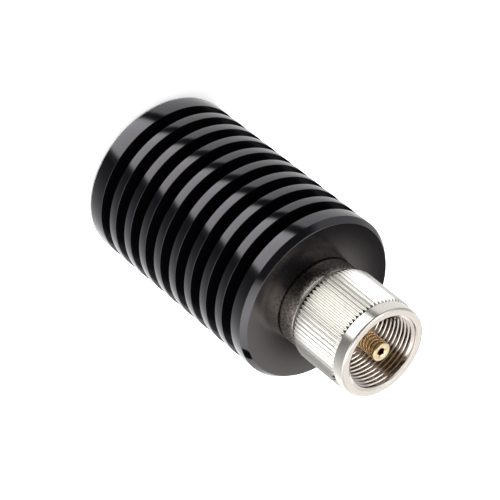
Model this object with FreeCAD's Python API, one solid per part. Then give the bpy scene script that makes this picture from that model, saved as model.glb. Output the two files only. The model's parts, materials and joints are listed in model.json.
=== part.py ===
import FreeCAD, Part
import math
import os

# A coaxial terminator with a screw-on plug. It stands on the heat sink's flat rear end.
# The axis is Z, the plug points up, and z = 0 is the rear end. All sizes are in millimetres.

# Heat sink
sink_diameter = 35.0
rear_band = 3.6
groove_count = 9
groove_width = 2.85
fin_thickness = 2.03
front_band = 4.0
front_edge_radial = 0.9
front_edge_axial = 1.25
rear_edge = 0.2
floor_thickness = 7.0
sleeve_bore_diameter = 11.0
core_wall = 2.5
tapping_depth = 0.3

# Plug: the thread's crest sets the mating size, and the radial steps lead inwards from it
thread_crest_diameter = 14.92
shell_gap = 0.56
nib_reach = 0.95
barrel_wall = 1.2
lip_depth = 0.65

# Connector body
shank_wall = 2.25
shank_lead_in = 0.4
relief_width = 1.0
relief_depth = 0.5
collar_step = 2.3
collar_length = 4.0
collar_edge = 0.2
seam_height = 0.25
seam_depth = 0.35
shoulder_thickness = 0.65
barrel_length = 0.5
lip_thickness = 0.4
nib_count = 4
nib_width = 1.1

# Retaining ring
ring_thickness = 0.8
ring_groove_depth = 0.65
ring_reach = 0.82
ring_opening = 2.0
ring_travel = 0.4

# Coupling nut
nut_length = 15.2
nut_collar_gap = 0.2
nut_lip_thickness = 1.25
band_length = 2.7
band_wall = 2.09
knurl_rise = 0.31
tooth_count = 70
tooth_height = 0.36
tooth_end_bevel = 0.5
rear_bevel_length = 1.5
rear_bevel_depth = 0.4
rear_rim = 0.3
rear_chamfer = 0.12
front_edge_width = 0.38
front_edge_height = 0.2
mouth_widening = 0.59
mouth_depth = 0.25

# Centre pin
pin_diameter = 3.96
pin_setback = 0.36
pin_tip_edge = 0.22
pin_bore_diameter = 1.5
pin_bore_depth = 9.0
pin_bore_edge = 0.45
pin_step = 0.48
pin_shoulder_step = 1.1
pin_shoulder_thickness = 1.0
socket_wall = 0.57
socket_room = 0.6
socket_slit = 0.4
socket_overhang = 1.4

# Beads and clamp bush
front_bead_length = 7.0
rear_bead_length = 5.0
bush_length = 2.0
bush_wall = 1.75
bush_slot_width = 1.0
bush_slot_depth = 0.8
bush_recess = 0.5

# Resistor, sleeve, washer and collet
rod_diameter = 5.0
cap_wall = 0.3
cap_end = 0.5
cap_length = 4.0
cap_to_socket = 4.1
cap_room = 0.2
nose_diameter = 2.0
nose_engagement = 4.0
washer_height = 1.1
washer_thickness = 0.3
collet_base = 1.5
collet_room = 0.5
collet_wall = 0.9
collet_slit = 0.6
collet_slit_count = 4

# Clearances
running_clearance = 0.08
seat_clearance = 0.03
ring_side_clearance = 0.05

# Radii that several pieces share
slip = seat_clearance
thread_radius = thread_crest_diameter / 2
neck_radius = thread_radius - shell_gap
barrel_radius = neck_radius - nib_reach
bead_radius = barrel_radius - barrel_wall
mount_radius = bead_radius + shank_wall
bore_radius = sleeve_bore_diameter / 2
ring_groove_root = neck_radius - ring_groove_depth
ring_outer = neck_radius + ring_reach
band_radius = thread_radius + band_wall
crest_radius = band_radius + knurl_rise
pin_radius = pin_diameter / 2
pin_neck_radius = pin_radius - pin_step
nose_radius = nose_diameter / 2
socket_radius = nose_radius + slip + socket_wall
rod_radius = rod_diameter / 2
cap_radius = rod_radius + cap_wall
cap_bore = cap_radius + cap_room

# Heights along the axis
pitch = groove_width + fin_thickness
sink_length = rear_band + groove_count * groove_width + (groove_count - 1) * fin_thickness + front_band
collar_front = sink_length + collar_length
nut_rear = collar_front + nut_collar_gap
nut_front = nut_rear + nut_length
ring_groove_rear = nut_rear + nut_lip_thickness
ring_rear = ring_groove_rear + ring_side_clearance
ring_front = ring_rear + ring_thickness
ring_groove_front = ring_front + ring_travel + ring_side_clearance
shoulder_front = ring_groove_front + shoulder_thickness
barrel_front = shoulder_front + barrel_length
pin_tip = nut_front - pin_setback
front_bead_front = barrel_front - lip_thickness
front_bead_rear = front_bead_front - front_bead_length
pin_shoulder_rear = front_bead_rear - pin_shoulder_thickness
rear_bead_rear = pin_shoulder_rear - rear_bead_length
bush_rear = rear_bead_rear - bush_length
shank_rear = bush_rear - bush_recess
socket_rear = rear_bead_rear - socket_overhang
socket_end = socket_rear + nose_engagement + socket_room
washer_rear = shank_rear - washer_height
collet_floor = floor_thickness + collet_base
collet_front = collet_floor + cap_length + collet_room
rod_rear = collet_floor + cap_end
cap_front = socket_rear - cap_to_socket
rod_front = cap_front - cap_end


def turned(points):
    """Solid of revolution about the axis, from its half section as (radius, height) corners."""
    corners = [FreeCAD.Vector(radius, 0, height) for radius, height in points]
    face = Part.Face(Part.makePolygon(corners + corners[:1]))
    return face.revolve(FreeCAD.Vector(0, 0, 0), FreeCAD.Vector(0, 0, 1), 360)


def tube(outer, inner, rear, front):
    """Plain ring between two radii and two heights."""
    return turned([(inner, rear), (outer, rear), (outer, front), (inner, front)])


def spoke(start, end, width, rear, front, turn):
    """Bar along a radius, turned about the axis by a number of degrees."""
    bar = Part.makeBox(end - start, width, front - rear, FreeCAD.Vector(start, -width / 2, rear))
    bar.rotate(FreeCAD.Vector(0, 0, 0), FreeCAD.Vector(0, 0, 1), turn)
    return bar


def spokes(count, start, end, width, rear, front):
    """Equal bars around the axis."""
    return [spoke(start, end, width, rear, front, 360 * i / count) for i in range(count)]


def heat_sink():
    """Bar turned with square grooves, bored blind from the front for the resistor and the shank."""
    rim = sink_diameter / 2
    core = mount_radius + core_wall
    thread_end = shank_rear - tapping_depth
    outline = [(0, 0), (rim - rear_edge, 0), (rim, rear_edge)]
    for i in range(groove_count):
        rear = rear_band + i * pitch
        front = rear + groove_width
        outline += [(rim, rear), (core, rear), (core, front), (rim, front)]
    outline += [(rim, sink_length - front_edge_axial), (rim - front_edge_radial, sink_length)]
    outline += [(mount_radius, sink_length), (mount_radius, thread_end), (bore_radius, thread_end)]
    outline += [(bore_radius, floor_thickness), (0, floor_thickness)]
    return turned(outline)


def connector_body():
    """Shank, collar, neck with the ring's groove, shoulder with its nibs, and the outer conductor."""
    shank = mount_radius - slip
    relief = shank - relief_depth
    collar = neck_radius + collar_step
    opening = bead_radius - lip_depth
    outline = [
        (bead_radius, shank_rear),
        (shank - shank_lead_in, shank_rear),
        (shank, shank_rear + shank_lead_in),
        (shank, sink_length - relief_width),
        (relief, sink_length - relief_width),
        (relief, sink_length),
        (collar - seam_depth, sink_length),
        (collar - seam_depth, sink_length + seam_height),
        (collar, sink_length + seam_height),
        (collar, collar_front - collar_edge),
        (collar - collar_edge, collar_front),
        (neck_radius, collar_front),
        (neck_radius, ring_groove_rear),
        (ring_groove_root, ring_groove_rear),
        (ring_groove_root, ring_groove_front),
        (neck_radius, ring_groove_front),
        (neck_radius, shoulder_front),
        (barrel_radius, shoulder_front),
        (barrel_radius, barrel_front),
        (opening, barrel_front),
        (opening, front_bead_front),
        (bead_radius, front_bead_front),
    ]
    nibs = spokes(nib_count, bead_radius, neck_radius, nib_width, shoulder_front, barrel_front)
    around = tube(neck_radius, barrel_radius, shoulder_front, barrel_front)
    return turned(outline).fuse([nib.common(around) for nib in nibs]).removeSplitter()


def retaining_ring():
    """Open spring ring, sprung into the nut's groove and free to slide in the body's longer one."""
    inner = ring_groove_root + running_clearance
    ring = tube(ring_outer, inner, ring_rear, ring_front)
    return ring.cut(spoke(0, 2 * ring_outer, ring_opening, ring_rear, ring_front, 90))


def knurl_prism(rear, front):
    """Straight prism whose section is the knurl: teeth with a V groove between each two."""
    half_step = math.pi / tooth_count
    corners = []
    for i in range(2 * tooth_count):
        radius = crest_radius - tooth_height * (i % 2)
        angle = i * half_step
        corners.append(FreeCAD.Vector(radius * math.cos(angle), radius * math.sin(angle), rear))
    section = Part.Face(Part.makePolygon(corners + corners[:1]))
    return section.extrude(FreeCAD.Vector(0, 0, front - rear))


def coupling_nut():
    """Knurled nut with a smooth front band, a threaded bore and a lip that runs on the neck."""
    lip_bore = neck_radius + running_clearance
    groove = ring_outer + running_clearance
    groove_front = ring_front + ring_side_clearance
    knurl_front = nut_front - band_length
    blank = turned([
        (0, nut_rear),
        (crest_radius - rear_bevel_depth - rear_chamfer, nut_rear),
        (crest_radius - rear_bevel_depth, nut_rear + rear_chamfer),
        (crest_radius - rear_bevel_depth, nut_rear + rear_rim),
        (crest_radius, nut_rear + rear_bevel_length),
        (crest_radius, knurl_front - tooth_end_bevel),
        (crest_radius - tooth_height, knurl_front),
        (0, knurl_front),
    ])
    front = turned([
        (0, knurl_front),
        (band_radius, knurl_front),
        (band_radius, nut_front - front_edge_height),
        (band_radius - front_edge_width, nut_front),
        (0, nut_front),
    ])
    hollow = turned([
        (0, nut_rear),
        (lip_bore, nut_rear),
        (lip_bore, ring_groove_rear),
        (groove, ring_groove_rear),
        (groove, groove_front),
        (thread_radius, groove_front),
        (thread_radius, nut_front - mouth_depth),
        (thread_radius + mouth_widening, nut_front),
        (0, nut_front),
    ])
    knurled = blank.common(knurl_prism(nut_rear, knurl_front))
    return knurled.fuse(front).removeSplitter().cut(hollow)


def centre_pin():
    """Contact pin: hollow tip, neck pressed through the front bead, shoulder, and slit rear socket."""
    shoulder = pin_neck_radius + pin_shoulder_step
    fit = nose_radius + slip
    hole = pin_bore_diameter / 2
    solid = turned([
        (fit, socket_rear),
        (socket_radius, socket_rear),
        (socket_radius, pin_shoulder_rear),
        (shoulder, pin_shoulder_rear),
        (shoulder, front_bead_rear),
        (pin_neck_radius, front_bead_rear),
        (pin_neck_radius, front_bead_front),
        (pin_radius, front_bead_front),
        (pin_radius, pin_tip - pin_tip_edge),
        (pin_radius - pin_tip_edge, pin_tip),
        (hole + pin_bore_edge, pin_tip),
        (hole, pin_tip - pin_bore_edge),
        (hole, pin_tip - pin_bore_depth),
        (0, pin_tip - pin_bore_depth - hole),
        (0, socket_end),
        (fit, socket_end),
    ])
    return solid.cut(spoke(-socket_radius, socket_radius, socket_slit, socket_rear, socket_end, 0))


def front_insulator():
    """Bead between the pin and the outer conductor, pushed up against the front lip."""
    return tube(bead_radius - slip, pin_neck_radius + slip, front_bead_rear, front_bead_front)


def rear_insulator():
    """Bead behind the pin's shoulder."""
    return tube(bead_radius - slip, socket_radius + slip, rear_bead_rear, pin_shoulder_rear)


def clamp_bush():
    """Bush screwed into the body's rear, with a spanner slot across its back."""
    outer = bead_radius - slip
    bush = tube(outer, bead_radius - bush_wall, bush_rear, rear_bead_rear)
    return bush.cut(spoke(-outer, outer, bush_slot_width, bush_rear, bush_rear + bush_slot_depth, 0))


def resistor_rod():
    """Ceramic rod that carries the resistive film."""
    return Part.makeCylinder(rod_radius, rod_front - rod_rear, FreeCAD.Vector(0, 0, rod_rear))


def cap_section(closed, opened):
    """Half section of a cup over the rod's end, from its closed end to its open one."""
    inside = rod_radius + slip
    floor = closed + math.copysign(cap_end, opened - closed)
    return [(0, closed), (cap_radius, closed), (cap_radius, opened), (inside, opened), (inside, floor), (0, floor)]


def resistor_rear_cap():
    """Cup on the earthed end, seated on the collet's floor."""
    return turned(cap_section(collet_floor, collet_floor + cap_length))


def resistor_front_cap():
    """Cup with a nose that plugs into the pin's socket."""
    nose_tip = socket_rear + nose_engagement
    section = cap_section(cap_front, cap_front - cap_length)
    return turned([(0, nose_tip), (nose_radius, nose_tip), (nose_radius, cap_front)] + section[1:])


def thermal_sleeve():
    """Ceramic sleeve around the rod, counterbored for the front cap."""
    outer = bore_radius - slip
    rod_bore = rod_radius + slip
    cap_seat = cap_front - cap_length - cap_room
    return turned([
        (rod_bore, collet_front),
        (outer, collet_front),
        (outer, washer_rear),
        (cap_bore, washer_rear),
        (cap_bore, cap_seat),
        (rod_bore, cap_seat),
    ])


def spring_washer():
    """Washer cut from a bent strip, pressed between the sleeve and the shank."""
    outer = bore_radius - slip
    rise = washer_height - washer_thickness - slip
    bend = (outer ** 2 + rise ** 2) / (2 * rise)
    start = FreeCAD.Vector(0, -outer, washer_rear + rise - bend)
    along = FreeCAD.Vector(0, 1, 0)
    strip = Part.makeCylinder(bend + washer_thickness, 2 * outer, start, along)
    strip = strip.cut(Part.makeCylinder(bend, 2 * outer, start, along))
    return strip.common(tube(outer, cap_bore, washer_rear, shank_rear))


def ground_collet():
    """Slit cup at the bottom of the bore, which grips the rear cap and earths it."""
    grip = cap_radius + slip
    fingers = grip + collet_wall
    cup = turned([
        (0, floor_thickness),
        (bore_radius - slip, floor_thickness),
        (bore_radius - slip, collet_floor),
        (fingers, collet_floor),
        (fingers, collet_front),
        (grip, collet_front),
        (grip, collet_floor),
        (0, collet_floor),
    ])
    return cup.cut(spokes(collet_slit_count, 0, bore_radius, collet_slit, collet_floor, collet_front))


PIECES = (
    heat_sink,
    connector_body,
    retaining_ring,
    coupling_nut,
    centre_pin,
    front_insulator,
    rear_insulator,
    clamp_bush,
    resistor_rod,
    resistor_front_cap,
    resistor_rear_cap,
    thermal_sleeve,
    spring_washer,
    ground_collet,
)

os.makedirs("parts", exist_ok=True)
for piece in PIECES:
    shape = piece()
    if len(shape.Solids) == 1:
        shape = shape.Solids[0]
    name = piece.__name__
    shape.exportStep(os.path.join("parts", name + ".step"))
    box = shape.BoundBox
    print(f"{name}: {shape.Volume:.1f} mm3, {len(shape.Solids)} solid, z {box.ZMin:.2f} to {box.ZMax:.2f}")
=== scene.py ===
import json
import math

import bmesh
import bpy
from mathutils import Matrix, Vector


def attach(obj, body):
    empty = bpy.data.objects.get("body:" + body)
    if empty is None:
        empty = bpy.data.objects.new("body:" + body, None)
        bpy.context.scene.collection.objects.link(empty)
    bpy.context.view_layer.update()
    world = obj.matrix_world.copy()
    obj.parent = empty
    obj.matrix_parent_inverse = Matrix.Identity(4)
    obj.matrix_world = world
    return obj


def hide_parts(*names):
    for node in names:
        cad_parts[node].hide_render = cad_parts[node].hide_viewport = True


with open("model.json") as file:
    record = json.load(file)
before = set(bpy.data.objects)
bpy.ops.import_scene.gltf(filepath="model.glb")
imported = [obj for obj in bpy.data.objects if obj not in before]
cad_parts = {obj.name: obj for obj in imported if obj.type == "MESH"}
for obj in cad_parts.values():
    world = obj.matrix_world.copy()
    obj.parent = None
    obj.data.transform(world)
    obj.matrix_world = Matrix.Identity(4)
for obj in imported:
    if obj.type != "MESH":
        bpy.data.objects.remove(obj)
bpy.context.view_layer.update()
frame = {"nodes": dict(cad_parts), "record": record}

# Sizes in millimetres. Those that the solids have too are the same, except where a comment says so.
# MM and MICRON turn sizes into metres. What lies nearer than CLOSE counts as on a surface, and SLIP is the
# clearance of seated pieces. A groove is given by the heights of its rear and front wall.
MM = 0.001
MICRON = 0.000001
SIDES = 256
PIN_SIDES = 128
ARC_STEPS = 3
CLOSE = 0.01
SLIP = 0.03

# Heat sink
SINK_RADIUS = 17.5
SINK_LENGTH = 49.49
SINK_CORE = 9.5
SINK_FLOOR = 7.0
REAR_BAND = 3.6
REAR_EDGE = 0.2
GROOVES = 9
GROOVE_WIDTH = 2.85
GROOVE_FILLET = 0.18
FIN_THICKNESS = 2.03
FIN_EDGE = 0.12
SINK_BEVEL_RADIAL = 0.9
SINK_BEVEL_AXIAL = 1.25
BORE_RADIUS = 5.5
TAPPING_DEPTH = 0.3

# Connector body
SHANK_REAR = 41.49
SHANK_RADIUS = 7.0
COLLAR_RADIUS = 9.2
COLLAR_FRONT = 53.49
COLLAR_EDGE = 0.2
SEAM_HEIGHT = 0.25
SEAM_DEPTH = 0.35
NECK_RADIUS = 6.9
RING_GROOVE = (54.94, 56.24)
RING_GROOVE_ROOT = 6.25
SHOULDER_FRONT = 56.89
BARREL_RADIUS = 5.95
BARREL_FRONT = 57.39
BEAD_RADIUS = 4.75
LIP_RADIUS = 4.1
LIP_REAR = 56.99
NIBS = 4
NIB_WIDTH = 1.1

# Coupling nut. The mouth's cone is 0.25 deep in the solid, and the solid has no thread.
NUT_REAR = 53.69
NUT_FRONT = 68.89
NUT_BORE = 6.98
NUT_GROOVE = (54.94, 55.84)
NUT_GROOVE_RADIUS = 7.8
TEETH = 70
CREST_RADIUS = 9.86
TOOTH_HEIGHT = 0.36
TOOTH_END = 0.5
KNURL_FRONT = 66.19
KNURL_INSIDE = 9.3
BEVEL_LENGTH = 1.5
BEVEL_DEPTH = 0.4
REAR_RIM = 0.3
REAR_CHAMFER = 0.12
BAND_RADIUS = 9.55
BAND_CHAMFER = 0.04
NUT_EDGE_RADIAL = 0.38
NUT_EDGE_AXIAL = 0.2
MOUTH_RADIUS = 8.05
MOUTH_DEPTH = 0.22
MOUTH_EDGE_RADIAL = 0.06
MOUTH_EDGE_AXIAL = 0.03
THREAD_CREST = 7.46
THREAD_ROOT = 8.0
THREAD_PITCH = 1.0
THREAD_START = 0.5
THREAD_LOW = NUT_GROOVE[1] + 0.1
THREAD_HIGH = NUT_FRONT - MOUTH_EDGE_AXIAL

# Centre pin. In the solid the countersink is 0.45 deep and the edge of the tip 0.22.
PIN_RADIUS = 1.98
PIN_TIP = 68.53
PIN_TIP_EDGE = 0.14
PIN_BORE = 0.75
PIN_BORE_DEPTH = 9.0
COUNTERSINK_WIDTH = 0.45
COUNTERSINK_DEPTH = 0.2
PIN_NECK = 1.5
PIN_SHOULDER_RADIUS = 2.6
PIN_SHOULDER_REAR = 48.99
PIN_SHOULDER_FRONT = 49.99
SOCKET_RADIUS = 1.6
SOCKET_BORE = 1.03
SOCKET_REAR = 42.59
SOCKET_END = 47.19


def finished_mesh(name, vertices, faces, sharp_angle, merge=False):
    """Object from lists, with outward faces, smooth except at its sharp edges.

    The angle in degrees from which an edge is sharp is a number or a function of the edge's middle.
    """
    mesh = bpy.data.meshes.new(name)
    mesh.from_pydata(vertices, [], faces)
    shape = bmesh.new()
    shape.from_mesh(mesh)
    if merge:
        bmesh.ops.remove_doubles(shape, verts=shape.verts, dist=2e-7)
        bmesh.ops.dissolve_degenerate(shape, edges=shape.edges, dist=1e-8)
    bmesh.ops.recalc_face_normals(shape, faces=shape.faces)
    for edge in shape.edges:
        middle = (edge.verts[0].co + edge.verts[1].co) / 2
        limit = sharp_angle(middle) if callable(sharp_angle) else sharp_angle
        edge.smooth = edge.calc_face_angle(math.pi) < math.radians(limit)
    for face in shape.faces:
        face.smooth = True
    shape.to_mesh(mesh)
    shape.free()
    piece = bpy.data.objects.new(name, mesh)
    bpy.context.scene.collection.objects.link(piece)
    return piece


def broken(section):
    """Rounds the corners of a half section. Each point is (radius, height, size of the rounding)."""
    points = []
    count = len(section)
    for i, (radius, height, size) in enumerate(section):
        here = Vector((radius, height))
        if size == 0:
            points.append((radius, height))
            continue
        before = Vector(section[i - 1][:2]) - here
        after = Vector(section[(i + 1) % count][:2]) - here
        start = here + before.normalized() * size
        end = here + after.normalized() * size
        for step in range(ARC_STEPS + 1):
            share = step / ARC_STEPS
            point = start * (1 - share) ** 2 + here * 2 * share * (1 - share) + end * share ** 2
            points.append((point.x, point.y))
    return points


def turned(name, section, sides=SIDES, sharp_angle=32):
    """Solid of revolution from a closed half section given as (radius, height) points."""
    vertices = []
    rings = []
    for radius, height in section:
        count = 1 if radius == 0 else sides
        rings.append([len(vertices) + i for i in range(count)])
        for i in range(count):
            angle = 2 * math.pi * i / sides
            vertices.append((radius * math.cos(angle) * MM, radius * math.sin(angle) * MM, height * MM))
    faces = []
    for lower, upper in zip(rings, rings[1:] + rings[:1]):
        if len(lower) == 1 and len(upper) == 1:
            continue
        for i in range(sides):
            j = (i + 1) % sides
            corners = (lower[i % len(lower)], lower[j % len(lower)])
            corners += (upper[j % len(upper)], upper[i % len(upper)])
            faces.append(tuple(dict.fromkeys(corners)))
    return finished_mesh(name, vertices, faces, sharp_angle)


def heat_sink():
    """Finned bar with all its edges lightly broken."""
    section = [(0, 0, 0), (SINK_RADIUS, 0, REAR_EDGE)]
    for i in range(GROOVES):
        rear = REAR_BAND + i * (GROOVE_WIDTH + FIN_THICKNESS)
        front = rear + GROOVE_WIDTH
        section += [(SINK_RADIUS, rear, FIN_EDGE), (SINK_CORE, rear, GROOVE_FILLET)]
        section += [(SINK_CORE, front, GROOVE_FILLET), (SINK_RADIUS, front, FIN_EDGE)]
    section += [(SINK_RADIUS, SINK_LENGTH - SINK_BEVEL_AXIAL, 0.1)]
    section += [(SINK_RADIUS - SINK_BEVEL_RADIAL, SINK_LENGTH, 0.1)]
    section += [(SHANK_RADIUS, SINK_LENGTH, 0.1)]
    section += [(SHANK_RADIUS, SHANK_REAR - TAPPING_DEPTH, 0), (BORE_RADIUS, SHANK_REAR - TAPPING_DEPTH, 0)]
    section += [(BORE_RADIUS, SINK_FLOOR, 0.1), (0, SINK_FLOOR, 0)]
    return turned("finned_body", broken(section))


def connector_body():
    """Shank, collar, neck, shoulder and the open front of the outer conductor."""
    shank = SHANK_RADIUS - SLIP
    relief_start = SINK_LENGTH - 1.0
    relief_radius = shank - 0.5
    section = [
        (BEAD_RADIUS, SHANK_REAR, 0.1),
        (shank, SHANK_REAR, 0.3),
        (shank, relief_start, 0),
        (relief_radius, relief_start, 0),
        (relief_radius, SINK_LENGTH, 0),
        (COLLAR_RADIUS - SEAM_DEPTH, SINK_LENGTH, 0),
        (COLLAR_RADIUS - SEAM_DEPTH, SINK_LENGTH + SEAM_HEIGHT, 0.03),
        (COLLAR_RADIUS, SINK_LENGTH + SEAM_HEIGHT, 0.06),
        (COLLAR_RADIUS, COLLAR_FRONT, COLLAR_EDGE),
        (NECK_RADIUS, COLLAR_FRONT, 0.1),
        (NECK_RADIUS, RING_GROOVE[0], 0.05),
        (RING_GROOVE_ROOT, RING_GROOVE[0], 0.05),
        (RING_GROOVE_ROOT, RING_GROOVE[1], 0.05),
        (NECK_RADIUS, RING_GROOVE[1], 0.05),
        (NECK_RADIUS, SHOULDER_FRONT, 0.1),
        (BARREL_RADIUS, SHOULDER_FRONT, 0.06),
        (BARREL_RADIUS, BARREL_FRONT, 0.08),
        (LIP_RADIUS, BARREL_FRONT, 0.08),
        (LIP_RADIUS, LIP_REAR, 0.04),
        (BEAD_RADIUS, LIP_REAR, 0),
    ]
    return turned("plug_body", broken(section))


def nib(index):
    """Bar between the barrel and the shoulder's rim, which keys the plug in its socket."""
    half = NIB_WIDTH / 2
    start = BARREL_RADIUS - 0.1
    end = NECK_RADIUS - 0.15
    low = SHOULDER_FRONT - 0.02
    high = BARREL_FRONT - 0.02
    edge = 0.07
    vertices = []
    for height, inset in ((low, 0), (high - edge, 0), (high, edge)):
        near = end - inset
        side = half - inset
        for x, y in ((start, -side), (near, -side), (near, side), (start, side)):
            vertices.append(Vector((x * MM, y * MM, height * MM)))
    spin = Matrix.Rotation(2 * math.pi * index / NIBS, 3, "Z")
    faces = [(0, 1, 2, 3), (8, 9, 10, 11)]
    for level in (0, 4):
        for i in range(4):
            j = (i + 1) % 4
            faces.append((level + i, level + j, level + 4 + j, level + 4 + i))
    return finished_mesh("socket_key_%d" % (index + 1), [spin @ v for v in vertices], faces, 30)


def tooth_profile():
    """Columns of the knurl as (share of a tooth, depth below the crest)."""
    flat = 0.06
    root = 0.05
    return [(-flat, 0), (flat, 0), (0.5 - root, TOOTH_HEIGHT), (0.5 + root, TOOTH_HEIGHT)]


def thread_profile():
    """Rows of the thread as (share of a pitch, depth into the wall), for one turn."""
    depth = THREAD_ROOT - THREAD_CREST
    soft = 0.02
    return [
        (0.0, 0), (0.2, 0), (0.2 + soft, depth * 0.06), (0.53 - soft, depth * 0.94),
        (0.53, depth), (0.66, depth), (0.66 + soft, depth * 0.94), (1.0 - soft, depth * 0.06),
    ]


def tooth_line(depth):
    """Points along the nut at one depth of the knurl. The sloped ends cut it at heights of its own."""
    radius = CREST_RADIUS - depth
    rear = NUT_REAR + BEVEL_LENGTH - (BEVEL_LENGTH - REAR_RIM) * depth / BEVEL_DEPTH
    front = KNURL_FRONT - TOOTH_END * (1 - depth / TOOTH_HEIGHT)
    line = [(CREST_RADIUS - BEVEL_DEPTH, NUT_REAR + REAR_RIM), (radius, rear)]
    line += [(radius, rear + (front - rear) * step / 3) for step in (1, 2)]
    return line + [(radius, front), (CREST_RADIUS - TOOTH_HEIGHT, KNURL_FRONT)]


def thread_rows():
    """Rows of the thread from the mouth to the rear as (height without the lead, depth into the wall)."""
    turns = int((THREAD_HIGH - THREAD_LOW) / THREAD_PITCH) + 3
    return [
        (THREAD_LOW + THREAD_PITCH * (turn + share - 1), depth)
        for turn in range(turns, -1, -1)
        for share, depth in reversed(thread_profile())
    ]


def thread_point(height, depth):
    """Point on the bore's wall. The thread runs out at the rear and in the mouth's cone."""
    height = min(max(height, THREAD_LOW), THREAD_HIGH)
    runout = min(max((height - THREAD_LOW) / THREAD_PITCH, 0), 1)
    cone_slope = (MOUTH_RADIUS - THREAD_CREST) / MOUTH_DEPTH
    cone = MOUTH_RADIUS - cone_slope * (THREAD_HIGH - height)
    return max(THREAD_CREST + depth * runout, cone), height


def coupling_nut():
    """Knurled nut with a helical thread in its bore."""
    columns = [
        ((tooth + share) / TEETH, depth) for tooth in range(TEETH) for share, depth in tooth_profile()
    ]
    columns.append((1 + columns[0][0], columns[0][1]))
    front = broken([
        (BAND_RADIUS, KNURL_FRONT, 0),
        (BAND_RADIUS - BAND_CHAMFER, KNURL_FRONT, 0),
        (BAND_RADIUS, KNURL_FRONT + BAND_CHAMFER, 0),
        (BAND_RADIUS, NUT_FRONT - NUT_EDGE_AXIAL, 0.14),
        (BAND_RADIUS - NUT_EDGE_RADIAL, NUT_FRONT, 0.06),
        (MOUTH_RADIUS, NUT_FRONT, 0),
    ])[1:-1]
    front += [(MOUTH_RADIUS + MOUTH_EDGE_RADIAL, NUT_FRONT), (MOUTH_RADIUS, THREAD_HIGH)]
    rim = CREST_RADIUS - BEVEL_DEPTH
    rear = broken([
        (THREAD_CREST, NUT_GROOVE[1], 0.04),
        (NUT_GROOVE_RADIUS, NUT_GROOVE[1], 0.04),
        (NUT_GROOVE_RADIUS, NUT_GROOVE[0], 0.04),
        (NUT_BORE, NUT_GROOVE[0], 0.04),
        (NUT_BORE, NUT_REAR, 0.08),
        (rim - REAR_CHAMFER, NUT_REAR, 0),
        (rim, NUT_REAR + REAR_CHAMFER, 0),
    ])
    rows = thread_rows()
    vertices = []
    for turned_by, depth in columns:
        angle = 2 * math.pi * turned_by
        lead = THREAD_PITCH * (turned_by - THREAD_START)
        bore = [thread_point(height + lead, cut) for height, cut in rows]
        for radius, height in tooth_line(depth) + front + bore + rear:
            vertices.append((radius * math.cos(angle) * MM, radius * math.sin(angle) * MM, height * MM))
    length = len(vertices) // len(columns)
    faces = []
    for column in range(len(columns) - 1):
        for row in range(length):
            below = (row + 1) % length
            faces.append((column * length + row, (column + 1) * length + row,
                          (column + 1) * length + below, column * length + below))
    return finished_mesh("knurled_nut", vertices, faces, nut_sharpness, merge=True)


def nut_sharpness(point):
    """Angle in degrees from which an edge of the nut is sharp. The knurl is crisp, the thread smooth."""
    if in_thread(point):
        return 180
    on_knurl = NUT_REAR + REAR_RIM - CLOSE < point.z / MM < KNURL_FRONT + CLOSE
    if on_knurl and math.hypot(point.x, point.y) > KNURL_INSIDE * MM:
        return 6
    return 24


# Lean from which a face of the knurl is the end of a tooth, and how far from the band its painted shade and
# highlight stop
END_TILT = 0.2
KNURL_MARGIN = 0.1


def knurl_part(point, normal):
    """Which surface of the knurl a face is: end, groove, crest or flank. None off the knurl."""
    radius = math.hypot(point.x, point.y) / MM
    if radius < KNURL_INSIDE or not NUT_REAR + REAR_RIM < point.z / MM < KNURL_FRONT - KNURL_MARGIN:
        return None
    if abs(normal.z) > END_TILT:
        return "end"
    if abs(radius - CREST_RADIUS + TOOTH_HEIGHT) < CLOSE:
        return "groove"
    if abs(radius - CREST_RADIUS) < CLOSE:
        return "crest"
    return "flank"


def in_thread(point):
    """Whether a point lies on the nut's threaded bore."""
    inside = math.hypot(point.x, point.y) < (THREAD_ROOT + CLOSE) * MM
    return inside and NUT_GROOVE[1] * MM < point.z < (NUT_FRONT - MOUTH_DEPTH) * MM


def centre_pin():
    """Contact pin with a countersunk hollow tip."""
    section = [
        (SOCKET_BORE, SOCKET_REAR, 0.08),
        (SOCKET_RADIUS, SOCKET_REAR, 0.12),
        (SOCKET_RADIUS, PIN_SHOULDER_REAR, 0),
        (PIN_SHOULDER_RADIUS, PIN_SHOULDER_REAR, 0.1),
        (PIN_SHOULDER_RADIUS, PIN_SHOULDER_FRONT, 0.1),
        (PIN_NECK, PIN_SHOULDER_FRONT, 0),
        (PIN_NECK, LIP_REAR, 0),
        (PIN_RADIUS, LIP_REAR, 0.05),
        (PIN_RADIUS, PIN_TIP - PIN_TIP_EDGE, 0.04),
        (PIN_RADIUS - PIN_TIP_EDGE, PIN_TIP, 0.04),
        (PIN_BORE + COUNTERSINK_WIDTH, PIN_TIP, 0.06),
        (PIN_BORE, PIN_TIP - COUNTERSINK_DEPTH, 0.06),
        (PIN_BORE, PIN_TIP - PIN_BORE_DEPTH, 0),
        (0, PIN_TIP - PIN_BORE_DEPTH - PIN_BORE, 0),
        (0, SOCKET_END, 0),
        (SOCKET_BORE, SOCKET_END, 0),
    ]
    return turned("contact_pin", broken(section), PIN_SIDES)


def front_bead():
    """Waxy bead behind the front lip, with the small moulding step that such beads have."""
    inner = PIN_NECK + SLIP
    outer = BEAD_RADIUS - SLIP
    rear = PIN_SHOULDER_FRONT
    recess = LIP_REAR - 0.06
    section = [
        (inner, rear, 0.1),
        (outer, rear, 0.15),
        (outer, LIP_REAR, 0.05),
        (LIP_RADIUS - 0.3, LIP_REAR, 0.03),
        (LIP_RADIUS - 0.4, recess, 0.03),
        (PIN_RADIUS + 0.3, recess, 0.03),
        (PIN_RADIUS + 0.2, LIP_REAR, 0.03),
        (inner, LIP_REAR, 0.03),
    ]
    return turned("front_bead", broken(section))


# Materials

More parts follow.
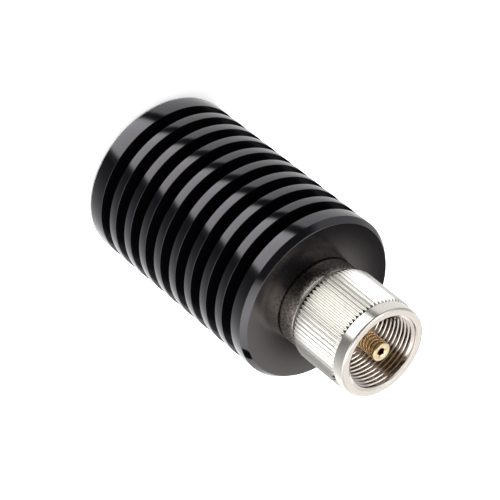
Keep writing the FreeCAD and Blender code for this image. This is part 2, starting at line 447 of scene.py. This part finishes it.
def new_material(name, colour, metallic, roughness):
    """Principled material. Returns it with its node tree and its shader."""
    material = bpy.data.materials.new(name)
    material.use_nodes = True
    tree = material.node_tree
    shader = tree.nodes["Principled BSDF"]
    shader.inputs["Base Color"].default_value = (*colour, 1)
    shader.inputs["Metallic"].default_value = metallic
    shader.inputs["Roughness"].default_value = roughness
    return material, tree, shader


def math_node(tree, operation, first, second=None):
    """Math node whose inputs are sockets or numbers."""
    node = tree.nodes.new("ShaderNodeMath")
    node.operation = operation
    for socket, value in zip(node.inputs, (first, second)):
        if value is None:
            continue
        if isinstance(value, (int, float)):
            socket.default_value = value
        else:
            tree.links.new(value, socket)
    return node.outputs[0]


def turning_marks(tree, across, around):
    """Noise that changes fast along the part's profile and slowly around it, as tool marks do.

    Both frequencies are per metre.
    """
    position = tree.nodes.new("ShaderNodeTexCoord").outputs["Object"]
    split = tree.nodes.new("ShaderNodeSeparateXYZ")
    tree.links.new(position, split.inputs[0])
    x, y, z = split.outputs
    squares = math_node(tree, "ADD", math_node(tree, "MULTIPLY", x, x), math_node(tree, "MULTIPLY", y, y))
    radius = math_node(tree, "SQRT", squares)
    along = math_node(tree, "ADD", z, radius)
    joined = tree.nodes.new("ShaderNodeCombineXYZ")
    tree.links.new(math_node(tree, "MULTIPLY", x, around), joined.inputs[0])
    tree.links.new(math_node(tree, "MULTIPLY", y, around), joined.inputs[1])
    tree.links.new(math_node(tree, "MULTIPLY", along, across), joined.inputs[2])
    noise = tree.nodes.new("ShaderNodeTexNoise")
    noise.inputs["Scale"].default_value = 1
    noise.inputs["Detail"].default_value = 3
    noise.inputs["Roughness"].default_value = 0.6
    tree.links.new(joined.outputs[0], noise.inputs["Vector"])
    return noise.outputs["Fac"]


def grain(tree, scale, detail=2):
    """Plain fine noise over the surface."""
    position = tree.nodes.new("ShaderNodeTexCoord").outputs["Object"]
    noise = tree.nodes.new("ShaderNodeTexNoise")
    noise.inputs["Scale"].default_value = scale
    noise.inputs["Detail"].default_value = detail
    tree.links.new(position, noise.inputs["Vector"])
    return noise.outputs["Fac"]


def add_bump(tree, shader, height, strength, distance):
    """Bump from a height of 0 to 1, with its depth in metres."""
    bump = tree.nodes.new("ShaderNodeBump")
    bump.inputs["Strength"].default_value = strength
    bump.inputs["Distance"].default_value = distance
    tree.links.new(height, bump.inputs["Height"])
    tree.links.new(bump.outputs[0], shader.inputs["Normal"])


def spread(tree, shader, amount):
    """Anisotropy of a turned surface: gloss is smeared across the tool marks."""
    tangent = tree.nodes.new("ShaderNodeTangent")
    tangent.direction_type = "RADIAL"
    tangent.axis = "Z"
    tree.links.new(tangent.outputs[0], shader.inputs["Tangent"])
    shader.inputs["Anisotropic"].default_value = amount
    shader.inputs["Anisotropic Rotation"].default_value = 0.25


def varied(tree, target, factor, low, high):
    """Feeds a socket with a factor of 0 to 1 turned into a range."""
    remap = tree.nodes.new("ShaderNodeMapRange")
    remap.inputs["To Min"].default_value = low
    remap.inputs["To Max"].default_value = high
    tree.links.new(factor, remap.inputs["Value"])
    tree.links.new(remap.outputs[0], target)


def tinted(tree, shader, factor, dark, light):
    """Base colour that wanders between two close tones."""
    mix = tree.nodes.new("ShaderNodeMix")
    mix.data_type = "RGBA"
    mix.inputs["A"].default_value = (*dark, 1)
    mix.inputs["B"].default_value = (*light, 1)
    tree.links.new(factor, mix.inputs["Factor"])
    tree.links.new(mix.outputs["Result"], shader.inputs["Base Color"])


def anodised(name, tint, low, high, smear, index=1.77):
    """Black anodised aluminium with fine turning marks."""
    material, tree, shader = new_material(name, (0.004, 0.004, 0.005), 0, (low + high) / 2)
    shader.inputs["IOR"].default_value = index
    shader.inputs["Specular Tint"].default_value = (*tint, 1)
    marks = turning_marks(tree, 9000, 300)
    tinted(tree, shader, marks, (0.003, 0.003, 0.004), (0.005, 0.005, 0.007))
    varied(tree, shader.inputs["Roughness"], marks, low, high)
    spread(tree, shader, smear)
    add_bump(tree, shader, marks, 0.15, 10 * MICRON)
    return material


def nickel(name, colour, metal, low, high, marks_strength, smear):
    """Nickel plate, from a mirror to satin."""
    material, tree, shader = new_material(name, colour, metal, (low + high) / 2)
    marks = turning_marks(tree, 7000, 300)
    cloud = grain(tree, 420)
    darker = tuple(0.94 * c for c in colour)
    tinted(tree, shader, cloud, darker, colour)
    varied(tree, shader.inputs["Roughness"], cloud, low, high)
    spread(tree, shader, smear)
    add_bump(tree, shader, marks, marks_strength, 10 * MICRON)
    return material


def gold(name, colour, metal, low, high):
    """Gold plate: a mirror on the pin's side, satin on its tip."""
    material, tree, shader = new_material(name, colour, metal, (low + high) / 2)
    cloud = grain(tree, 600)
    darker = tuple(0.94 * c for c in colour)
    tinted(tree, shader, cloud, darker, colour)
    varied(tree, shader.inputs["Roughness"], cloud, low, high)
    return material


def fluoropolymer():
    material, tree, shader = new_material("fluoropolymer", (0.88, 0.87, 0.84), 0, 0.42)
    shader.inputs["IOR"].default_value = 1.38
    marks = turning_marks(tree, 5000, 200)
    tinted(tree, shader, marks, (0.85, 0.84, 0.81), (0.9, 0.89, 0.86))
    varied(tree, shader.inputs["Roughness"], marks, 0.36, 0.5)
    add_bump(tree, shader, marks, 0.2, 20 * MICRON)
    return material


def spring_metal():
    material, tree, shader = new_material("spring_metal", (0.66, 0.5, 0.28), 1, 0.3)
    cloud = grain(tree, 300, 4)
    tinted(tree, shader, cloud, (0.58, 0.42, 0.22), (0.7, 0.54, 0.31))
    varied(tree, shader.inputs["Roughness"], cloud, 0.24, 0.38)
    add_bump(tree, shader, grain(tree, 2500), 0.2, 10 * MICRON)
    return material


def film():
    material, tree, shader = new_material("film", (0.05, 0.035, 0.03), 0, 0.35)
    cloud = grain(tree, 500, 4)
    tinted(tree, shader, cloud, (0.035, 0.024, 0.02), (0.06, 0.042, 0.036))
    varied(tree, shader.inputs["Roughness"], cloud, 0.3, 0.45)
    add_bump(tree, shader, turning_marks(tree, 6000, 150), 0.25, 20 * MICRON)
    return material


def silver():
    material, tree, shader = new_material("silver", (0.88, 0.87, 0.85), 1, 0.22)
    cloud = grain(tree, 350, 4)
    tinted(tree, shader, cloud, (0.78, 0.76, 0.73), (0.9, 0.89, 0.87))
    varied(tree, shader.inputs["Roughness"], cloud, 0.16, 0.3)
    add_bump(tree, shader, grain(tree, 3000), 0.15, 10 * MICRON)
    return material


def ceramic():
    material, tree, shader = new_material("ceramic", (0.83, 0.82, 0.79), 0, 0.55)
    speck = grain(tree, 1800, 4)
    tinted(tree, shader, speck, (0.78, 0.77, 0.74), (0.86, 0.85, 0.82))
    varied(tree, shader.inputs["Roughness"], speck, 0.48, 0.62)
    add_bump(tree, shader, grain(tree, 4000), 0.3, 30 * MICRON)
    return material


def collet_metal():
    material, tree, shader = new_material("collet_metal", (0.78, 0.6, 0.3), 1, 0.28)
    marks = turning_marks(tree, 6000, 200)
    tinted(tree, shader, marks, (0.72, 0.54, 0.26), (0.82, 0.64, 0.33))
    varied(tree, shader.inputs["Roughness"], marks, 0.22, 0.34)
    add_bump(tree, shader, marks, 0.3, 10 * MICRON)
    return material


# Lean from which a face looks along the axis, how far it may lie behind the piece's front end to take the
# front's material, and the lean from which a face is part of the sink's bevel. On the nut and the pin the
# front's material is lighter than the plating, as painted highlight.
FACE_TILT = 0.93
FACE_DEPTH = 0.2 * MM
BEVEL_TILT = 0.3
FACED = {
    "anodised": anodised("anodised_face", (1.0, 0.88, 0.84), 0.17, 0.22, 0.5),
    # The nut's front face is a cream, almost unmetallic copy of its nickel, lighter than the plating:
    # painted highlight.
    "nut_plate": nickel("nut_face_painted_highlight", (1.0, 0.92, 0.83), 0.05, 0.5, 0.6, 0.1, 0.3),
    # The pin's tip is satin, and its lighter, less metallic gold is painted highlight.
    "gold": gold("gold_tip_painted_highlight", (1.0, 0.87, 0.58), 0.3, 0.4, 0.5),
}
SINK_BEVEL = anodised("anodised_edge", (0.97, 0.94, 1.0), 0.05, 0.08, 0.3, 2.08)
THREAD_PLATE = nickel("thread_plate", (0.9, 0.82, 0.76), 1, 0.05, 0.09, 0, 0)
# Copies of the nut's nickel on the knurl. The dark grooves and dark crests are painted shade and the
# near-white flanks are painted highlight. The tooth ends keep the plating's colour.
KNURL_SHADE_AND_HIGHLIGHT_PLATES = {
    "groove": nickel("groove_painted_shade", (0.2, 0.19, 0.17), 0.6, 0.35, 0.5, 0.1, 0),
    "flank": nickel("flank_painted_highlight", (1.0, 0.98, 0.93), 1, 0.34, 0.42, 0.1, 0),
    "crest": nickel("crest_painted_shade", (0.36, 0.35, 0.33), 0.9, 0.4, 0.5, 0.1, 0),
    "end": nickel("tooth_end_plate", (0.8, 0.77, 0.72), 1, 0.06, 0.1, 0.1, 0),
}


def blasted():
    """Dull nickel on the collar, with a coarse grain."""
    material, tree, shader = new_material("body_plate", (0.68, 0.64, 0.6), 1, 0.36)
    coarse = grain(tree, 2600, 2)
    speck = math_node(tree, "MULTIPLY", math_node(tree, "SUBTRACT", coarse, 0.38), 4)
    tinted(tree, shader, speck, (0.4, 0.365, 0.335), (0.8, 0.735, 0.68))
    varied(tree, shader.inputs["Roughness"], speck, 0.22, 0.32)
    add_bump(tree, shader, coarse, 0.5, 30 * MICRON)
    return material


MATERIALS = {
    "anodised": anodised("anodised", (0.97, 0.94, 1.0), 0.11, 0.16, 0.6),
    "body_plate": blasted(),
    "nut_plate": nickel("nut_plate", (0.82, 0.79, 0.74), 0.8, 0.2, 0.26, 0.1, 0.3),
    "gold": gold("gold", (0.96, 0.7, 0.4), 1, 0.09, 0.12),
    "fluoropolymer": fluoropolymer(),
    "spring_metal": spring_metal(),
    "film": film(),
    "silver": silver(),
    "ceramic": ceramic(),
    "collet_metal": collet_metal(),
}


def set_faces_finish_and_painted_light(piece, slot):
    """Gives the front's faces, the sink's bevel and the nut's thread and knurl materials of their own. The
    nut's front face and the pin's tip are lighter than their plating, as painted highlight. The knurl's
    grooves and crests are darker, as painted shade, and its flanks are lighter, as painted highlight.
    """
    if slot in FACED:
        piece.data.materials.append(FACED[slot])
        front = max(vertex.co.z for vertex in piece.data.vertices)
        for face in piece.data.polygons:
            face.material_index = int(face.normal.z > FACE_TILT and face.center.z > front - FACE_DEPTH)
    if slot == "anodised":
        piece.data.materials.append(SINK_BEVEL)
        place = piece.data.materials.find(SINK_BEVEL.name)
        bevel_rear = (SINK_LENGTH - SINK_BEVEL_AXIAL) * MM
        for face in piece.data.polygons:
            if BEVEL_TILT < face.normal.z < FACE_TILT and face.center.z > bevel_rear:
                face.material_index = place
    if slot == "nut_plate":
        piece.data.materials.append(THREAD_PLATE)
        for plate in KNURL_SHADE_AND_HIGHLIGHT_PLATES.values():
            piece.data.materials.append(plate)
        first = piece.data.materials.find(THREAD_PLATE.name)
        places = {part: first + 1 + i for i, part in enumerate(KNURL_SHADE_AND_HIGHLIGHT_PLATES)}
        for face in piece.data.polygons:
            if in_thread(face.center):
                face.material_index = first
            # Knurl faces take the painted shade and highlight copies of the nickel.
            elif knurl_part(face.center, face.normal):
                face.material_index = places[knurl_part(face.center, face.normal)]


def dress(piece, body, slot, *nodes):
    """Gives a new piece its material and its place in the frame."""
    piece.data.materials.append(MATERIALS[slot])
    set_faces_finish_and_painted_light(piece, slot)
    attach(piece, body)
    if nodes:
        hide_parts(*nodes)


dress(heat_sink(), "load", "anodised", "heat_sink")
dress(connector_body(), "load", "body_plate", "connector_body")
for number in range(NIBS):
    dress(nib(number), "load", "body_plate")
dress(coupling_nut(), "nut", "nut_plate", "coupling_nut")
dress(centre_pin(), "load", "gold", "centre_pin")
dress(front_bead(), "load", "fluoropolymer", "front_insulator")

for row in frame["record"]["subparts"]:
    kept = frame["nodes"][row["node"]]
    if not kept.hide_render:
        kept.data.materials.clear()
        kept.data.materials.append(MATERIALS[row["material_slot"]])


# Studio: the lit surroundings as (azimuth from the camera's side in radians, level), towards +X
AROUND_BELOW = (
    (-3.14, 0.8), (-2.7, 1.1), (-2.5, 1.0), (-1.15, 1.0), (-1.1, 0.95), (-1.04, 0.03), (-0.82, 0.03),
    (-0.74, 2.4), (-0.6, 2.8), (-0.3, 2.5), (0.1, 2.4), (0.24, 2.2), (0.34, 0.15), (0.5, 0.05),
    (0.9, 0.14), (1.2, 0.31), (1.5, 0.53), (1.8, 0.8), (2.1, 1.1), (2.4, 1.5), (2.7, 1.8), (3.14, 0.8),
)
BACK_ABOVE = ((2.75, 1.25), (3.0, 1.4), (3.1, 0.95), (3.14, 0.45))
DARK_ABOVE = ((-3.14, 0.45), (-3.1, 0.1), (-3.05, 0.03), (-2.9, 0.03), (-2.65, 0.15))
AROUND_ABOVE = DARK_ABOVE + (
    (-2.45, 0.6), (-2.2, 0.45), (-1.9, 0.42), (-1.3, 0.36), (-1.1, 0.08), (-0.9, 0.04), (0, 0.05),
    (0.4, 0.06), (0.5, 0.4), (0.6, 0.9), (0.9, 1.4), (1.2, 1.6), (1.5, 1.4), (1.9, 1.0), (2.15, 0.8),
    (2.5, 0.9),
) + BACK_ABOVE
AROUND_HIGH = DARK_ABOVE + (
    (-2.4, 1.0), (-1.25, 1.0), (-0.9, 0.06), (0, 0.05), (0.25, 0.35), (0.6, 0.95), (0.9, 1.4),
    (1.2, 1.6), (1.5, 1.4), (1.9, 1.0), (2.15, 0.8), (2.5, 0.9),
) + BACK_ABOVE
# Heights, as the vertical part of a direction, over which one level gives way to the next
ABOVE_EDGE = (-0.5, -0.15)
HIGH_EDGE = (0.67, 0.74)
OVERHEAD_EDGE = (0.8, 0.94)
# Azimuths between which the background is uncovered, and the height below which mirrors show it
OPEN_SIDE = (-2.4, -1.25)
OPEN_TOP = -0.5
# Overhead panel: its levels in front and behind, where it changes, and how far its edge bends sideways
OVERHEAD = (0.03, 2.3)
OVERHEAD_FRONT = (0.0, 0.1)
OVERHEAD_SPREAD = 0.3
# Round patches: their directions, and their soft edges as cosines
SIDE_LAMP = (-0.36, 0.9, 0.245)
SIDE_LAMP_EDGE = (0.955, 0.985)
SIDE_LEVEL = 1.3
DARK_GAP = (0.87, 0.493, 0.03)
DARK_GAP_EDGE = (0.9905, 0.9925)
BRIGHTEST = 3.0


def stepped(tree, value, edge, levels=(0, 1), smooth=True):
    """Turns a value that crosses an edge into a step from the first level to the second."""
    node = tree.nodes.new("ShaderNodeMapRange")
    if smooth:
        node.interpolation_type = "SMOOTHSTEP"
    for name, number in zip(("From Min", "From Max", "To Min", "To Max"), edge + levels):
        node.inputs[name].default_value = number
    tree.links.new(value, node.inputs["Value"])
    return node.outputs[0]


def blended(tree, factor, first, second):
    """Mix of two colours. The second is a socket or a grey level."""
    mix = tree.nodes.new("ShaderNodeMix")
    mix.data_type = "RGBA"
    tree.links.new(factor, mix.inputs["Factor"])
    tree.links.new(first, mix.inputs["A"])
    if isinstance(second, (int, float)):
        mix.inputs["B"].default_value = (second, second, second, 1)
    else:
        tree.links.new(second, mix.inputs["B"])
    return mix.outputs["Result"]


def by_azimuth(tree, turn, levels):
    """Grey levels by azimuth, from a turn of 0 to 1."""
    node = tree.nodes.new("ShaderNodeValToRGB")
    elements = node.color_ramp.elements
    while len(elements) < len(levels):
        elements.new(0.5)
    for element, (angle, level) in zip(elements, levels):
        grey = level / BRIGHTEST
        element.position = min(max(angle / (2 * math.pi) + 0.5, 0), 1)
        element.color = (grey, grey, grey, 1)
    tree.links.new(turn, node.inputs[0])
    return node.outputs["Color"]


def patched(tree, direction, surroundings, toward, edge, level):
    """Lays a round patch of one level over the surroundings, in one direction."""
    aside = tree.nodes.new("ShaderNodeVectorMath")
    aside.operation = "DOT_PRODUCT"
    aside.inputs[1].default_value = toward
    tree.links.new(direction, aside.inputs[0])
    inside = stepped(tree, aside.outputs["Value"], edge, smooth=False)
    return blended(tree, inside, surroundings, level / BRIGHTEST)


def lit_room(tree, direction, azimuth, x, y, z):
    """What most reflections and light see: levels around, overhead panel, side lamp and dark gap."""
    turn = math_node(tree, "ADD", math_node(tree, "DIVIDE", azimuth, 2 * math.pi), 0.5)
    above = stepped(tree, z, ABOVE_EDGE)
    high = stepped(tree, z, HIGH_EDGE, smooth=False)
    overhead = stepped(tree, z, OVERHEAD_EDGE)
    sideways = math_node(tree, "MULTIPLY", math_node(tree, "ABSOLUTE", x), OVERHEAD_SPREAD)
    backwards = math_node(tree, "ADD", y, sideways)
    panel = stepped(tree, backwards, OVERHEAD_FRONT, tuple(level / BRIGHTEST for level in OVERHEAD))
    below = by_azimuth(tree, turn, AROUND_BELOW)
    room = blended(tree, above, below, by_azimuth(tree, turn, AROUND_ABOVE))
    room = blended(tree, high, room, by_azimuth(tree, turn, AROUND_HIGH))
    room = blended(tree, overhead, room, panel)
    room = patched(tree, direction, room, SIDE_LAMP, SIDE_LAMP_EDGE, SIDE_LEVEL)
    return patched(tree, direction, room, DARK_GAP, DARK_GAP_EDGE, 0)


def sees_background(tree, azimuth, z):
    """1 for the rays that see the white background, 0 for those that see the room.

    The camera and transmission rays see it everywhere. On the open side diffuse rays see it too, and
    glossy rays below the top of the opening.
    """
    rays = tree.nodes.new("ShaderNodeLightPath")
    middle = (OPEN_SIDE[0] + OPEN_SIDE[1]) / 2
    off_middle = math_node(tree, "ABSOLUTE", math_node(tree, "SUBTRACT", azimuth, middle))
    beside = math_node(tree, "LESS_THAN", off_middle, OPEN_SIDE[1] - middle)
    uncovered = math_node(tree, "MULTIPLY", beside, math_node(tree, "LESS_THAN", z, OPEN_TOP))
    mirrored = math_node(tree, "MULTIPLY", rays.outputs["Is Glossy Ray"], uncovered)
    lighting = math_node(tree, "MULTIPLY", rays.outputs["Is Diffuse Ray"], beside)
    seen = math_node(tree, "MAXIMUM", rays.outputs["Is Camera Ray"], rays.outputs["Is Transmission Ray"])
    seen = math_node(tree, "MAXIMUM", seen, mirrored)
    return math_node(tree, "MAXIMUM", seen, lighting)


def studio():
    """World: a white background, with the lit room before it."""
    world = bpy.data.worlds.new("studio")
    bpy.context.scene.world = world
    world.use_nodes = True
    tree = world.node_tree
    tree.nodes.clear()
    direction = tree.nodes.new("ShaderNodeTexCoord").outputs["Generated"]
    split = tree.nodes.new("ShaderNodeSeparateXYZ")
    tree.links.new(direction, split.inputs[0])
    x, y, z = split.outputs
    azimuth = math_node(tree, "ARCTAN2", x, math_node(tree, "MULTIPLY", y, -1))
    lit = tree.nodes.new("ShaderNodeBackground")
    lit.inputs["Strength"].default_value = BRIGHTEST
    tree.links.new(lit_room(tree, direction, azimuth, x, y, z), lit.inputs["Color"])
    white = tree.nodes.new("ShaderNodeBackground")
    white.inputs["Color"].default_value = (1, 1, 1, 1)
    choice = tree.nodes.new("ShaderNodeMixShader")
    tree.links.new(sees_background(tree, azimuth, z), choice.inputs[0])
    tree.links.new(lit.outputs[0], choice.inputs[1])
    tree.links.new(white.outputs[0], choice.inputs[2])
    output = tree.nodes.new("ShaderNodeOutputWorld")
    tree.links.new(choice.outputs[0], output.inputs["Surface"])


FLOOR_HALF = 1.5
FLOOR_BELOW = 0.0002
FLOOR_GREY = 0.9
FLOOR_SEEN = 2.6


def floor():
    """Pale floor under the part. The camera sees it lighter, so that only a soft shadow is left on it."""
    half = FLOOR_HALF
    corners = [(-half, -half, 0), (half, -half, 0), (half, half, 0), (-half, half, 0)]
    mesh = bpy.data.meshes.new("floor")
    mesh.from_pydata(corners, [], [(0, 1, 2, 3)])
    plane = bpy.data.objects.new("floor", mesh)
    bpy.context.scene.collection.objects.link(plane)
    material, tree, shader = new_material("floor", (FLOOR_GREY,) * 3, 0, 0.9)
    shader.inputs["Specular IOR Level"].default_value = 0
    rays = tree.nodes.new("ShaderNodeLightPath")
    mix = tree.nodes.new("ShaderNodeMix")
    mix.data_type = "RGBA"
    mix.clamp_result = False
    mix.inputs["A"].default_value = (FLOOR_GREY, FLOOR_GREY, FLOOR_GREY, 1)
    mix.inputs["B"].default_value = (FLOOR_SEEN, FLOOR_SEEN, FLOOR_SEEN, 1)
    tree.links.new(rays.outputs["Is Camera Ray"], mix.inputs["Factor"])
    tree.links.new(mix.outputs["Result"], shader.inputs["Base Color"])
    plane.data.materials.append(material)
    plane.location.z = -FLOOR_BELOW
    plane.visible_glossy = False
    plane.visible_diffuse = False
    plane.visible_shadow = False


# Camera at the photo's angle
AIM = Vector((0.000612, 0, 0.02912))
DISTANCE = 0.56161
CAMERA_ELEVATION = math.radians(38.857)
CAMERA_AZIMUTH = math.radians(0.080)
CAMERA_ROLL = math.radians(128.95)
FOCAL_LENGTH = 210.161
SENSOR_WIDTH = 36


def photo_camera():
    """Camera that shows the standing part as the photo shows it lying."""
    lens = bpy.data.cameras.new("camera")
    lens.lens = FOCAL_LENGTH
    lens.sensor_width = SENSOR_WIDTH
    lens.clip_start = 0.01
    camera = bpy.data.objects.new("camera", lens)
    bpy.context.scene.collection.objects.link(camera)
    forward = Vector((
        math.sin(CAMERA_AZIMUTH) * math.cos(CAMERA_ELEVATION),
        math.cos(CAMERA_AZIMUTH) * math.cos(CAMERA_ELEVATION),
        -math.sin(CAMERA_ELEVATION),
    ))
    place = Matrix.Translation(AIM - forward * DISTANCE)
    level = forward.to_track_quat("-Z", "Y").to_matrix().to_4x4()
    camera.matrix_world = place @ level @ Matrix.Rotation(CAMERA_ROLL, 4, "Z")
    bpy.context.scene.camera = camera


floor()
studio()
photo_camera()
bpy.context.scene.view_settings.view_transform = "Standard"
